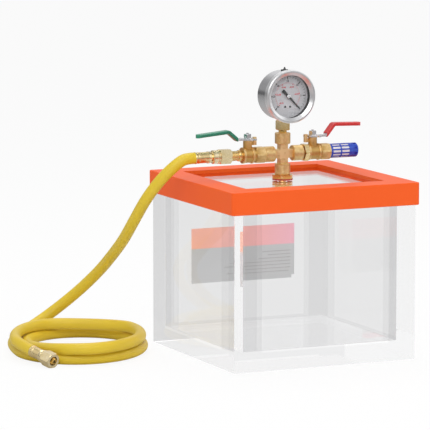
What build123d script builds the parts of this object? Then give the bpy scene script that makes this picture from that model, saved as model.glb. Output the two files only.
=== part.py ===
"""Clear bench-top vacuum chamber with a gauge, two ball valves, a silencer and a hose.

Millimetres, +Z up. The origin is the middle of the chamber's underside. The manifold runs
along X over the lid, the gauge faces -Y, and the hose leaves towards -X.
"""

import os
from math import acos, asin, cos, degrees, pi, radians, sin, sqrt, tan

from build123d import *

# ---- chamber: five bonded acrylic plates -------------------------------------------------
CHAMBER_SIDE = 240.0  # square footprint over the plates
WALL = 18.0  # side plates
BASE_PLATE = 22.0  # bottom plate, which the walls stand on
RIM_Z = 188.0  # top edge of the walls

# ---- lid: an acrylic plate in a moulded silicone channel ----------------------------------
LID_PLATE = 18.0
SEAL_FLANGE = 5.0  # silicone between the lid plate and the rim
TOP_FLANGE = 4.2  # silicone over the lid plate
SEAL_SKIRT = 4.0  # silicone outside the lid plate
FLANGE_WIDTH = 32.0  # both flanges, from the outer face inwards
SEAL_CORNER = 4.0
SEAL_EDGE = 1.2

# ---- brass threads, drawn plain ------------------------------------------------------------
PIPE_THREAD = 6.5  # male pipe thread, radius
THREAD_GAP = 0.1  # radial play in every screwed joint
FLARE_THREAD = 5.5  # male flare thread, radius
FLOW_BORE = 3.5

# ---- bulkhead through the lid --------------------------------------------------------------
BULKHEAD_FLATS = 24.0
BULKHEAD_HEX = 4.5
LID_WASHER = 1.8
LID_WASHER_RADIUS = 12.5
LID_HOLE = 7.0
INNER_NUT = 6.0
STUB_PAST_NUT = 3.0

# ---- cross ---------------------------------------------------------------------------------
CROSS_REACH = 25.6  # centre to the face of each socket
SOCKET_LENGTH = 13.4
SOCKET_RADIUS = 9.5
CROSS_NECK = 10.0  # square section of the arms
SOCKET_DEPTH = 10.0

LID_TOP = RIM_Z + SEAL_FLANGE + LID_PLATE
PIPE_Z = LID_TOP + LID_WASHER + BULKHEAD_HEX + CROSS_REACH

# ---- ball valves, sizes measured from the stem ---------------------------------------------
VALVE_SHORT = 8.0  # stem to the shouldered end
VALVE_LONG = 21.5  # stem to the end of the hexagon
VALVE_HEX_START = 9.0
VALVE_HEX_FLATS = 18.6
BARREL_RADIUS = 9.2
COLLAR_LENGTH = 3.2
COLLAR_RADIUS = 9.9
BALL_RADIUS = 6.0
SEAT_OVERLAP = 1.2  # how far the seats reach round the ball
SEAT_LENGTH = 1.8
SEAT_PLAY = 0.3
CAVITY_RADIUS = 6.5
PORT_DEPTH = 9.5
NECK_RADIUS = 5.4  # stem housing
NECK_TOP = 18.2  # above the pipe axis
STEM_RADIUS = 2.6
STEM_PLAY = 0.3
STEM_FLAT = 3.0
PACKING_RADIUS = 3.9
PACKING_LENGTH = 4.0
POST_DISTANCE = 9.4  # stem to the middle of the stop post
POST_WIDTH = 4.0
POST_DEPTH = 4.6
POST_BOTTOM = 12.2
POST_TOP = 22.0
LEVER_SHEET = 2.0
LEVER_WIDTH = 9.0
LEVER_HUB = 6.6
LEVER_EAR = 11.4  # reach of the two stop ears
EAR_ANGLE = 26.0
EAR_PLAY = 3.0
LEVER_TRAVEL = 90.0
LEVER_LIFT = 0.3  # lever over the stem housing
LEVER_FILLET = 3.0
GRIP_SKIN = 1.1  # dipped vinyl over the steel
NUT_FLATS = 8.5
NUT_HEIGHT = 5.4
STUD_RADIUS = 2.2
NUT_BORE = 1.6

RIGHT_GAP = 1.0  # bare thread between the cross and the right ring
LOCK_RING = 5.9  # hexagon between the cross and the right valve
LOCK_RING_FLATS = 20.0
# handle shapes: end of the flat, end of the ramp, tip, height of the ramp, fall to the tip
LEFT_LEVER = {"flat": 14.1, "ramp": 26.3, "tip": 67.0, "rise": 10.2, "droop": 3.7}
RIGHT_LEVER = {"flat": 17.0, "ramp": 27.8, "tip": 63.6, "rise": 13.4, "droop": 1.1}

# ---- silencer ------------------------------------------------------------------------------
SILENCER_LENGTH = 37.5
SILENCER_RADIUS = 8.75
SILENCER_WALL = 1.8
SILENCER_COLLAR = 3.0
WINDOW_LENGTH = 10.4
WINDOW_HEIGHT = 2.8
WINDOW_GAP = 1.5
WINDOWS_ROUND = 12
CAP_NOTCHES = 8
FELT_RADIUS = 6.7
FELT_BORE = 3.2

# ---- gauge ---------------------------------------------------------------------------------
GAUGE_HEIGHT = 71.3  # gauge centre above the pipe axis
CASE_RADIUS = 30.0
CASE_WALL = 1.2
CASE_FRONT = -15.5
CASE_BACK = 10.0
BEZEL_RADIUS = 32.2
BEZEL_LENGTH = 8.0
BEZEL_OPENING = 26.0
BEZEL_SHEET = 1.2
SEAL_RING_LENGTH = 1.6
SEAL_RING_RADIUS = 31.2
LENS_RADIUS = 28.0
LENS_SHEET = 2.0
LENS_FRONT = -21.5
DIAL_FACE = -13.0
DIAL_SHEET = 0.8
DIAL_RADIUS = 27.6
POINTER_GAP = 1.6  # dial face to the back of the pointer
POINTER_SHEET = 0.6
POINTER_REACH = 21.5
POINTER_TAIL = 10.5
POINTER_REST = 315.0  # degrees, counted from +X towards +Z
POINTER_TRAVEL = 270.0
ARBOR_RADIUS = 0.8
SOCKET_FLATS = 13.0
SOCKET_SQUARE_LENGTH = 11.8
STEM_NECK = 3.0
STEM_NECK_RADIUS = 5.0
SOCKET_ROUND = 5.4
SOCKET_BLOCK = (10.0, 8.8, -28.0, -19.0)  # width, depth, bottom, top inside the case
VENT_RADIUS = 3.2
VENT_Y = -5.0

# ---- gauge movement ------------------------------------------------------------------------
GEAR_MODULE = 0.36
PINION_TEETH = 14
GEAR_RATIO = 7
GEAR_PRESSURE = 20.0
GEAR_FACE = 1.2
TOOTH_SHARE = 0.40  # tooth thickness over pitch, which leaves backlash
SECTOR_TOOTH_COUNT = 15
SECTOR_START = 5  # teeth past its middle at which the sector rests
MOVEMENT_FRONT = -10.8  # front plate of the movement
PLATE_SHEET = 0.9
PLATE_SPACING = 4.6
ARBOR_SHORT = 0.4  # arbors stop inside the back plate
ARBOR_PLAY = 0.05
TUBE_COIL_RADIUS = 23.4
TUBE_WIDTH = 6.0
TUBE_SHEET = 2.2

# ---- hose ----------------------------------------------------------------------------------
HOSE_RADIUS = 7.0
FERRULE_RADIUS = 6.6
FERRULE_LENGTH = 13.0
TAIL_RADIUS = 4.2
TAIL_SHOULDER = 5.2
SWIVEL_PLAY = 0.35  # nut round the tail, all ways
TAIL_GAP = 8.5  # ferrule to the back of the nut
FLARE_NUT_LENGTH = 18.0
FLARE_NUT_FLATS = 17.0
FLARE_NUT_THREAD = 9.0
FLARE_BARE = 15.4  # left valve's male stub outside the nut
COIL_SHORT = 78.0  # half of the coil's width, centre of hose
COIL_LONG = 92.0
COIL_CENTRE = (-228.0, 101.5)
COIL_TURN = 65.5  # degrees from +X to the coil's long axis
COIL_LAYERS = 2
HOSE_ARC = 0.45  # share of the shorter run that an arc takes

# Route of the hose from the manifold down to the coil.
HOSE_DROP = [
    (-132.0, 0.0, PIPE_Z),
    (-153.0, 5.5, 227.0),
    (-168.2, 21.0, 199.0),
    (-173.2, 49.1, 167.0),
    (-172.7, 84.1, 138.0),
    (-171.0, 123.9, 114.0),
    (-172.6, 166.4, 86.0),
    (-192.0, 196.1, 55.0),
    (-223.5, 211.5, 27.0),
    (-255.9, 203.1, 12.0),
    (-280.9, 177.2, 7.0),
    (-298.0, 144.3, 7.0),
    (-307.3, 106.8, 7.0),
]
# Free end of the hose: off the coil and down to the coupling that lies on the bench.
HOSE_END = [
    (-227.9, 184.9, 20.5),
    (-258.1, 178.9, 20.5),
    (-284.2, 160.0, 20.5),
    (-303.4, 132.5, 20.8),
    (-316.1, 102.0, 21.0),
]
END_START = (-312.3, 39.3, 15.52)  # where the hose meets the free ferrule
END_BEARING = -72.3  # degrees from +X that the free coupling points
END_TILT = 10.4  # degrees that it points down
END_LEAD = 32.0  # straight lead into the ferrule

REAR_LABEL = {"x": 4.0, "z": 104.5, "width": 143.0, "height": 69.0, "sheet": 0.3, "notch": 4.0}

LEFT_STEM = -(CROSS_REACH + VALVE_LONG)
RIGHT_STEM = CROSS_REACH + RIGHT_GAP + LOCK_RING + VALVE_SHORT


# ---- helpers -------------------------------------------------------------------------------
def rod(direction, start, end, radius, centre=(0.0, 0.0)):
    """Cylinder along X, Y or Z from start to end; centre is on the other two axes in order."""
    a, b = centre
    mid = (start + end) / 2
    place = {
        "x": Pos(mid, a, b) * Rot(0, 90, 0),
        "y": Pos(a, mid, b) * Rot(90, 0, 0),
        "z": Pos(a, b, mid),
    }
    return place[direction] * Cylinder(radius, abs(end - start))


def tube(direction, start, end, outer, inner, centre=(0.0, 0.0)):
    reach = 1.0
    return rod(direction, start, end, outer, centre) - rod(
        direction, min(start, end) - reach, max(start, end) + reach, inner, centre
    )


def slab(x0, x1, y0, y1, z0, z1):
    """Box between two corners."""
    return Pos((x0 + x1) / 2, (y0 + y1) / 2, (z0 + z1) / 2) * Box(x1 - x0, y1 - y0, z1 - z0)


def break_rims(cylinder, size):
    """Chamfers both rims of a cylinder."""
    return chamfer(cylinder.edges().filter_by(GeomType.CIRCLE), size)


def hexagon(direction, start, end, flats, centre=(0.0, 0.0), corner_cut=0.8):
    """Hexagonal bar with its corners turned off at both ends, as on a nut."""
    corner = flats / sqrt(3)
    a, b = centre
    low, high = min(start, end), max(start, end)
    prism = extrude(RegularPolygon(corner, 6), high - low)
    turned = Cylinder(corner, high - low, align=(Align.CENTER, Align.CENTER, Align.MIN))
    turned = break_rims(turned, corner_cut)
    place = {
        "x": Pos(low, a, b) * Rot(0, 90, 0) * Rot(0, 0, 90),
        "y": Pos(a, high, b) * Rot(90, 0, 0),
        "z": Pos(a, b, low),
    }
    return place[direction] * (prism & turned)


def save(parts):
    os.makedirs("parts", exist_ok=True)
    for name, shape in parts.items():
        solids = shape.solids()
        export_step(solids[0] if len(solids) == 1 else Compound(children=list(solids)), f"parts/{name}.step")


# ---- chamber and lid -----------------------------------------------------------------------
def chamber():
    half = CHAMBER_SIDE / 2
    inside = half - WALL
    top = RIM_Z
    return {
        "base_plate": slab(-half, half, -half, half, 0, BASE_PLATE),
        "left_wall": slab(-half, -inside, -half, half, BASE_PLATE, top),
        "right_wall": slab(inside, half, -half, half, BASE_PLATE, top),
        "front_wall": slab(-inside, inside, -half, -inside, BASE_PLATE, top),
        "back_wall": slab(-inside, inside, inside, half, BASE_PLATE, top),
    }


def rear_label():
    spec = REAR_LABEL
    half_w, half_h, notch = spec["width"] / 2, spec["height"] / 2, spec["notch"]
    sheet = slab(-half_w, half_w, 0, spec["sheet"], -half_h, half_h)
    sheet -= slab(half_w - notch, half_w + 1, -1, spec["sheet"] + 1, -half_h - 1, -half_h + 2 * notch)
    return Pos(spec["x"], CHAMBER_SIDE / 2, spec["z"]) * sheet


def lid():
    plate_half = CHAMBER_SIDE / 2
    outer = plate_half + SEAL_SKIRT
    window = outer - FLANGE_WIDTH
    seal_bottom = RIM_Z
    plate_bottom = RIM_Z + SEAL_FLANGE
    seal_top = LID_TOP + TOP_FLANGE
    plate = slab(-plate_half, plate_half, -plate_half, plate_half, plate_bottom, LID_TOP)
    plate -= rod("z", plate_bottom - 1, LID_TOP + 1, LID_HOLE)
    seal = slab(-outer, outer, -outer, outer, seal_bottom, seal_top)
    seal = fillet(seal.edges().filter_by(Axis.Z), SEAL_CORNER)
    rims = seal.faces().filter_by(Axis.Z).edges()
    seal = fillet(rims, SEAL_EDGE)
    seal -= slab(-plate_half, plate_half, -plate_half, plate_half, plate_bottom, LID_TOP)
    seal -= slab(-window, window, -window, window, seal_bottom - 1, seal_top + 1)
    return {"lid_plate": plate, "lid_seal": seal}


def bulkhead():
    """Fitting clamped through the lid: hexagon above, nut and washer below."""
    plate_bottom = RIM_Z + SEAL_FLANGE
    hex_bottom = LID_TOP + LID_WASHER
    hex_top = hex_bottom + BULKHEAD_HEX
    washer_low = plate_bottom - LID_WASHER
    nut_low = washer_low - INNER_NUT
    stub_low = nut_low - STUB_PAST_NUT
    body = hexagon("z", hex_bottom, hex_top, BULKHEAD_FLATS)
    body += rod("z", stub_low, hex_bottom + 0.5, PIPE_THREAD)
    body += rod("z", hex_top - 0.5, hex_top + SOCKET_DEPTH - 1.0, PIPE_THREAD)
    body -= rod("z", stub_low - 1, hex_top + SOCKET_DEPTH, FLOW_BORE)
    nut = hexagon("z", nut_low, washer_low, BULKHEAD_FLATS)
    nut -= rod("z", nut_low - 1, washer_low + 1, PIPE_THREAD + THREAD_GAP)
    inner = PIPE_THREAD + THREAD_GAP
    return {
        "bulkhead_fitting": body,
        "bulkhead_nut": nut,
        "upper_washer": tube("z", LID_TOP, hex_bottom, LID_WASHER_RADIUS, inner),
        "lower_washer": tube("z", washer_low, plate_bottom, LID_WASHER_RADIUS, inner),
    }


def cross():
    """Four-way cross: square arms that end in turned, threaded sockets."""
    neck_end = CROSS_REACH - SOCKET_LENGTH
    half = CROSS_NECK / 2
    body = slab(-neck_end - 1, neck_end + 1, -half, half, -half, half)
    body += slab(-half, half, -half, half, -neck_end - 1, neck_end + 1)
    body = fillet(body.edges().filter_by(Axis.Y), 1.5)
    bore = PIPE_THREAD + THREAD_GAP
    for direction in ("x", "z"):
        for sign in (-1, 1):
            socket = rod(direction, sign * neck_end, sign * CROSS_REACH, SOCKET_RADIUS)
            body += break_rims(socket, 0.7)
    for direction in ("x", "z"):
        body -= rod(direction, -CROSS_REACH, CROSS_REACH, FLOW_BORE)
        for sign in (-1, 1):
            body -= rod(direction, sign * (CROSS_REACH - SOCKET_DEPTH), sign * (CROSS_REACH + 1), bore)
    return Pos(0, 0, PIPE_Z) * body


# ---- ball valve ----------------------------------------------------------------------------
def bent_strip(points, width, thickness, corner):
    """Strip of constant section along a bent line in the XZ plane."""
    path = FilletPolyline(*[(x, 0, z) for x, z in points], radius=LEVER_FILLET)
    start = Plane(origin=path @ 0, z_dir=path % 0, x_dir=(0, 1, 0))
    section = RectangleRounded(width, thickness, corner) if corner else Rectangle(width, thickness)
    return sweep(start * section, path=path)


def round_ended(tip, width):
    """Tall strip along +X with a round end, used to shape the handle's outline."""
    end = tip - width / 2
    return slab(-width / 2, end, -width / 2, width / 2, 0, 60) + rod("z", 0, 60, width / 2, (end, 0))


def stop_ears(low):
    """Two ears that meet the stop post a quarter turn apart."""
    post_half = degrees(asin((POST_DEPTH / 2) / (POST_DISTANCE - POST_WIDTH / 2)))
    first = 180.0 - post_half - EAR_PLAY - EAR_ANGLE
    second = 180.0 + LEVER_TRAVEL + post_half + EAR_PLAY
    align = (Align.NONE, Align.NONE, Align.MIN)
    ear = Cylinder(LEVER_EAR, LEVER_SHEET, arc_size=EAR_ANGLE, align=align)
    return [Pos(0, 0, low) * Rot(0, 0, angle) * ear for angle in (first, second)]


def valve_lever(flat, ramp, tip, rise, droop):
    """Steel handle with two stop ears, and the dipped grip over its outer part."""
    low = NECK_TOP + LEVER_LIFT
    high = low + LEVER_SHEET
    middle = (low + high) / 2
    points = [(0.0, middle), (flat, middle), (ramp, middle + rise), (tip, middle + rise - droop)]
    strip = bent_strip(points, LEVER_WIDTH, LEVER_SHEET, 0) & round_ended(tip, LEVER_WIDTH)
    steel = strip + rod("z", low, high, LEVER_HUB)
    for ear in stop_ears(low):
        steel += ear
    half_x, half_y = STUD_RADIUS + 0.05, STEM_FLAT / 2 + 0.05
    steel -= slab(-half_x, half_x, -half_y, half_y, low - 1, high + 1)
    grip_line = [(flat - 3.0, middle), *points[1:3], (tip + GRIP_SKIN, points[-1][1])]
    grip = bent_strip(grip_line, LEVER_WIDTH + 2 * GRIP_SKIN, LEVER_SHEET + 2 * GRIP_SKIN, 1.4)
    grip &= round_ended(tip + GRIP_SKIN, LEVER_WIDTH + 2 * GRIP_SKIN)
    grip -= slab(-10, flat + 0.6, -20, 20, 0, 60)
    return steel, grip - strip


def valve_body(stub_radius, stub_length, post_x, seat_near):
    """Cast body: shouldered barrel, hexagon, stem housing, stop post and male stub."""
    body = rod("x", -VALVE_SHORT, VALVE_HEX_START + 1, BARREL_RADIUS)
    collar = rod("x", -VALVE_SHORT, -VALVE_SHORT + COLLAR_LENGTH, COLLAR_RADIUS)
    body += break_rims(collar, 0.6)
    body += hexagon("x", VALVE_HEX_START, VALVE_LONG, VALVE_HEX_FLATS, corner_cut=1.0)
    body += rod("z", 0, NECK_TOP, NECK_RADIUS)
    half_x, half_y = POST_WIDTH / 2, POST_DEPTH / 2
    post = slab(post_x - half_x, post_x + half_x, -half_y, half_y, POST_BOTTOM, POST_TOP)
    body += fillet(post.edges().filter_by(Axis.Z), 0.8)
    rib_low, rib_high = sorted((0.0, post_x))
    body += slab(rib_low, rib_high, -1.8, 1.8, POST_BOTTOM, NECK_TOP - 1.5)
    body += rod("x", -VALVE_SHORT - stub_length, -VALVE_SHORT + 0.5, stub_radius)
    port = VALVE_LONG - PORT_DEPTH
    body -= rod("x", seat_near, port, CAVITY_RADIUS)
    body -= rod("x", port, VALVE_LONG + 1, PIPE_THREAD + THREAD_GAP)
    body -= rod("x", -VALVE_SHORT - stub_length - 1, seat_near + 0.5, FLOW_BORE)
    body -= rod("z", 0, NECK_TOP + 1, STEM_RADIUS + STEM_PLAY)
    body -= rod("z", NECK_TOP - PACKING_LENGTH - 2.0, NECK_TOP + 1, PACKING_RADIUS)
    return body


def valve_stem(slot_floor):
    """Stem: tang in the ball, round shank, two flats under the lever, threaded stud."""
    low = NECK_TOP + LEVER_LIFT
    high = low + LEVER_SHEET
    half = STEM_FLAT / 2
    stem = rod("z", BALL_RADIUS + 0.1, low, STEM_RADIUS)
    stem += slab(-2.4, 2.4, -half, half, slot_floor, BALL_RADIUS + 0.5)
    stem += rod("z", low - 0.5, high, STUD_RADIUS) & slab(-5, 5, -half, half, low - 0.5, high)
    stem += rod("z", high - 0.5, high + NUT_HEIGHT + 1.4, NUT_BORE - 0.1)
    return stem


def lever_nut():
    """Flanged nut over the lever."""
    low = NECK_TOP + LEVER_LIFT + LEVER_SHEET
    nut = hexagon("z", low, low + NUT_HEIGHT, NUT_FLATS, corner_cut=0.6)
    nut += rod("z", low, low + 0.9, NUT_FLATS / 2 + 0.9)
    return nut - rod("z", low - 1, low + NUT_HEIGHT + 1, NUT_BORE)


def valve_seat(back):
    """Plastic ring with a conical mouth round the ball, from back towards x = 0."""
    mouth = back - SEAT_LENGTH
    reach = BALL_RADIUS + SEAT_PLAY + 0.05
    inner = sqrt(reach**2 - FLOW_BORE**2)
    outer = sqrt(reach**2 - mouth**2)
    outline = [(inner, FLOW_BORE), (back, FLOW_BORE), (back, CAVITY_RADIUS)]
    outline += [(mouth, CAVITY_RADIUS), (mouth, outer)]
    return revolve(make_face(Polyline(*outline, close=True)), Axis.X)


def ball_valve(stub_radius, stub_length, lever_turn, lever):
    """One quarter-turn valve with its stem at x = 0; the hexagon end points to +X."""
    seat_near = -(BALL_RADIUS - SEAT_OVERLAP) - SEAT_LENGTH
    seat_far = -seat_near
    slot_floor = BALL_RADIUS - 1.6
    half = STEM_FLAT / 2
    ball = Sphere(BALL_RADIUS) - rod("x", -20, 20, FLOW_BORE) - slab(-20, 20, -half, half, slot_floor, 20)
    far_seat = valve_seat(seat_far)
    near_seat = Rot(0, 0, 180) * valve_seat(seat_far)
    packing_low = NECK_TOP - PACKING_LENGTH - 2.0
    packing_high = NECK_TOP - 2.0
    stem_hole = STEM_RADIUS + STEM_PLAY
    post_x = -POST_DISTANCE * cos(radians(lever_turn))
    steel, grip = valve_lever(**lever)
    turned = Rot(0, 0, lever_turn)
    return {
        "body": valve_body(stub_radius, stub_length, post_x, seat_near),
        "retainer": tube("x", seat_far, VALVE_LONG - PORT_DEPTH, CAVITY_RADIUS, FLOW_BORE),
        "seats": Compound(children=[near_seat, far_seat]),
        "packing": tube("z", packing_low, packing_high, PACKING_RADIUS, stem_hole),
        "gland": tube("z", packing_high, NECK_TOP, PACKING_RADIUS, stem_hole),
        "ball": ball,
        "stem": valve_stem(slot_floor),
        "lever": turned * steel,
        "lever_grip": turned * grip,
        "lever_nut": lever_nut(),
    }


def valves():
    right_stub = RIGHT_GAP + LOCK_RING + SOCKET_DEPTH - 1.0
    left = ball_valve(FLARE_THREAD, FLARE_BARE + FLARE_NUT_THREAD, 180.0, LEFT_LEVER)
    right = ball_valve(PIPE_THREAD, right_stub, 0.0, RIGHT_LEVER)
    parts = {f"left_valve_{name}": Pos(LEFT_STEM, 0, PIPE_Z) * shape for name, shape in left.items()}
    parts |= {f"right_valve_{name}": Pos(RIGHT_STEM, 0, PIPE_Z) * shape for name, shape in right.items()}
    return parts


def manifold_joints():
    """Nipple inside the left joint and the hexagon ring on the right one."""
    axis = (0.0, PIPE_Z)
    reach = SOCKET_DEPTH - 1.0
    nipple = tube("x", -CROSS_REACH - PORT_DEPTH + 0.5, -CROSS_REACH + reach, PIPE_THREAD, FLOW_BORE, axis)
    low = CROSS_REACH + RIGHT_GAP
    ring = hexagon("x", low, low + LOCK_RING, LOCK_RING_FLATS, axis)
    ring -= rod("x", low - 1, low + LOCK_RING + 1, PIPE_THREAD + THREAD_GAP, axis)
    return {"left_nipple": nipple, "right_lock_ring": ring}


# ---- silencer ------------------------------------------------------------------------------
def silencer():
    start = RIGHT_STEM + VALVE_LONG
    end = start + SILENCER_LENGTH
    axis = (0.0, PIPE_Z)
    inner = SILENCER_RADIUS - SILENCER_WALL
    first = SILENCER_COLLAR
    cage_end = first + 2 * WINDOW_LENGTH + WINDOW_GAP + 1.5
    shell = rod("x", start, end, SILENCER_RADIUS, axis)
    shell = break_rims(shell, 0.9)
    shell += rod("x", start - PORT_DEPTH + 1, start + 1, PIPE_THREAD, axis)
    shell -= rod("x", start + first - 1, start + cage_end, inner, axis)
    shell -= rod("x", start - PORT_DEPTH, start + first, FLOW_BORE, axis)
    window = slab(0, WINDOW_LENGTH, inner - 1, SILENCER_RADIUS + 1, -WINDOW_HEIGHT / 2, WINDOW_HEIGHT / 2)
    notch = slab(-3.2, 0, SILENCER_RADIUS - 1.1, SILENCER_RADIUS + 1, -1.2, 1.2)
    cuts = []
    for row in range(2):
        x = start + first + row * (WINDOW_LENGTH + WINDOW_GAP)
        for k in range(WINDOWS_ROUND):
            cuts.append(Pos(x, 0, PIPE_Z) * Rot(360 * k / WINDOWS_ROUND, 0, 0) * window)
    for k in range(CAP_NOTCHES):
        cuts.append(Pos(end - 2.2, 0, PIPE_Z) * Rot(360 * (k + 0.5) / CAP_NOTCHES, 0, 0) * notch)
    shell -= cuts
    felt = tube("x", start + first, start + cage_end - 0.2, FELT_RADIUS, FELT_BORE, axis)
    return {"silencer_body": shell, "silencer_felt": felt}


# ---- gauge ---------------------------------------------------------------------------------
def pointer_outline():
    """Flat pointer lying along +X, with a wide balancing tail."""
    outline = [
        (POINTER_REACH, 0.25), (2.5, 0.75), (-2.5, 1.1), (-4.0, 1.5), (-POINTER_TAIL, 1.5),
    ]
    mirrored = [(x, -y) for x, y in reversed(outline)]
    return make_face(Polyline(*outline, *mirrored, close=True))


def gear_tooth(teeth, module, height_out, height_in):
    """Half-angles of one involute tooth at a run of radii, from the root outwards."""
    pitch = module * teeth / 2
    base = pitch * cos(radians(GEAR_PRESSURE))
    half_at_pitch = TOOTH_SHARE * pi / teeth

    def half_angle(radius):
        pressure = acos(min(1.0, base / radius))
        pressure_at_pitch = radians(GEAR_PRESSURE)
        involute = tan(pressure) - pressure
        involute_at_pitch = tan(pressure_at_pitch) - pressure_at_pitch
        return half_at_pitch + involute_at_pitch - involute

    root, tip = pitch - height_in, pitch + height_out
    steps = [max(root, base) + (tip - max(root, base)) * k / 4 for k in range(5)]
    flank = [(radius, half_angle(radius)) for radius in steps]
    return root, flank


def tooth_points(root, flank, middle):
    """Corner points of one tooth centred on the angle middle, in radians."""
    low = flank[0][1]
    below = [(root, low)] if root < flank[0][0] else []
    polar = [*[(r, -a) for r, a in below + flank], *[(r, a) for r, a in reversed(below + flank)]]
    return [(r * cos(middle + a), r * sin(middle + a)) for r, a in polar]


def pinion_face():
    root, flank = gear_tooth(PINION_TEETH, GEAR_MODULE, 0.8 * GEAR_MODULE, 1.2 * GEAR_MODULE)
    points = []
    for k in range(PINION_TEETH):
        points += tooth_points(root, flank, 2 * pi * k / PINION_TEETH)
    return make_face(Polyline(*points, close=True))


def sector_face():
    """Toothed quadrant pivoted at the origin, its teeth towards +X, with a link arm behind."""
    teeth = PINION_TEETH * GEAR_RATIO
    root, flank = gear_tooth(teeth, GEAR_MODULE, 0.8 * GEAR_MODULE, 1.2 * GEAR_MODULE)
    pitch_angle = 2 * pi / teeth
    half = SECTOR_TOOTH_COUNT / 2
    points = []
    for k in range(SECTOR_TOOTH_COUNT):
        points += tooth_points(root, flank, (k - half + 0.5) * pitch_angle)
    inner = root - 2.2
    span = half * pitch_angle
    rim = [(inner * cos(a), inner * sin(a)) for a in (span, span / 2, 0, -span / 2, -span)]
    quadrant = make_face(Polyline(*points, *rim, close=True))
    web = make_face(Polyline((0, 1.0), (inner + 0.6, 4.2), (inner + 0.6, -4.2), (0, -1.0), close=True))
    web += Pos(-2.6, 0) * Rectangle(5.2, 1.8) + Pos(-5.2, 0) * Circle(1.3)
    return quadrant + web + Circle(2.0)


def on_dial(face, depth, y):
    """Extrudes a face drawn in dial axes (right, up) from y away from the viewer."""
    return Pos(0, y, 0) * Rot(90, 0, 0) * Pos(0, 0, -depth) * extrude(face, depth)


def gauge_case():
    centre = (0.0, 0.0)
    case = rod("y", CASE_FRONT, CASE_BACK, CASE_RADIUS, centre)
    case = fillet(case.edges().filter_by(GeomType.CIRCLE).sort_by(Axis.Y)[-1], 2.5)
    case -= rod("y", CASE_FRONT - 1, CASE_BACK - CASE_WALL, CASE_RADIUS - CASE_WALL, centre)
    flange = tube("y", CASE_FRONT, CASE_FRONT + CASE_WALL, SEAL_RING_RADIUS, CASE_RADIUS - CASE_WALL, centre)
    case += flange
    case -= rod("z", 0, CASE_RADIUS + 3, VENT_RADIUS + 0.05, (0.0, VENT_Y))
    case -= rod("z", -CASE_RADIUS - 3, 0, SOCKET_ROUND + 0.05)
    return case


def gauge_bezel():
    """Polished ring crimped over the case flange, its front rolled down to the lens."""
    front = CASE_FRONT - SEAL_RING_LENGTH - BEZEL_LENGTH
    back = CASE_FRONT - SEAL_RING_LENGTH
    outline = [
        (BEZEL_OPENING, front + 2.6), (BEZEL_OPENING + 3.6, front), (BEZEL_RADIUS - 1.2, front),
        (BEZEL_RADIUS, front + 1.2), (BEZEL_RADIUS, back), (LENS_RADIUS + 0.9, back),
        (LENS_RADIUS + 0.9, LENS_FRONT - 0.01), (BEZEL_OPENING, LENS_FRONT - 0.01),
    ]
    face = make_face(Polyline(*[(r, y, 0) for r, y in outline], close=True))
    return revolve(face, Axis.Y)


def gauge_seal():
    """Black rubber ring: it seats the lens and lines the case down to the dial."""
    back = CASE_FRONT
    front = CASE_FRONT - SEAL_RING_LENGTH
    lens_back = LENS_FRONT + LENS_SHEET
    seal = tube("y", front, back, SEAL_RING_RADIUS, BEZEL_OPENING + 0.6)
    seal += tube("y", lens_back, front + 0.1, LENS_RADIUS + 0.8, BEZEL_OPENING + 0.6)
    seal += tube("y", back - 0.1, DIAL_FACE, CASE_RADIUS - CASE_WALL - 0.1, BEZEL_OPENING + 0.6)
    return seal


def movement_depths():
    """Front faces of the gears and of the back plate."""
    back_plate = MOVEMENT_FRONT + PLATE_SHEET + PLATE_SPACING
    gear_front = MOVEMENT_FRONT + PLATE_SHEET + (PLATE_SPACING - GEAR_FACE) / 2
    return gear_front, back_plate


def movement_plates(distance):
    """Two plates on four pillars, bored for the two arbors."""
    back_plate = movement_depths()[1]
    plate = Pos(0, -distance / 2 + 1.0) * RectangleRounded(10.0, distance + 9.0, 2.5)
    plates = on_dial(plate, PLATE_SHEET, MOVEMENT_FRONT) + on_dial(plate, PLATE_SHEET, back_plate)
    for x in (-3.6, 3.6):
        for z in (-distance - 2.0, 4.2):
            plates += rod("y", MOVEMENT_FRONT + 0.1, back_plate + 0.1, 0.9, (x, z))
    for z in (0.0, -distance):
        bore = ARBOR_RADIUS + ARBOR_PLAY
        plates -= rod("y", MOVEMENT_FRONT - 1, back_plate + PLATE_SHEET + 1, bore, (0.0, z))
    return plates


def sector_gear(distance):
    """Toothed sector on its arbor, turned to where it rests with the pointer at nought."""
    gear_front, back_plate = movement_depths()
    start = SECTOR_START * 360 / (PINION_TEETH * GEAR_RATIO)
    sector = Pos(0, 0, -distance) * on_dial(Rot(0, 0, 90 + start) * sector_face(), GEAR_FACE, gear_front)
    arbor_end = back_plate + PLATE_SHEET - ARBOR_SHORT
    return sector + rod("y", MOVEMENT_FRONT, arbor_end, ARBOR_RADIUS, (0.0, -distance))


def pinion_arbor(hub_back):
    """Pinion with the thin arbor that carries the pointer."""
    gear_front, back_plate = movement_depths()
    mesh_turn = -90.0 - 180.0 / PINION_TEETH
    pinion = on_dial(Rot(0, 0, mesh_turn) * pinion_face(), GEAR_FACE, gear_front)
    return pinion + rod("y", hub_back, back_plate + PLATE_SHEET - ARBOR_SHORT, ARBOR_RADIUS)


def bourdon_tube():
    """Flattened C-shaped tube from the socket block round to its free tip."""
    front = movement_depths()[1] + PLATE_SHEET
    width, _, bottom, top = SOCKET_BLOCK
    ring = tube("y", front, front + TUBE_WIDTH, TUBE_COIL_RADIUS + TUBE_SHEET, TUBE_COIL_RADIUS)
    corners = [(40 * cos(radians(a)), 40 * sin(radians(a))) for a in (-85, -40, 10)]
    ring -= on_dial(make_face(Polyline((0, 0), *corners, close=True)), TUBE_WIDTH, front)
    return ring - slab(-width / 2, width / 2, front - 1, front + TUBE_WIDTH + 1, bottom, top)


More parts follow.
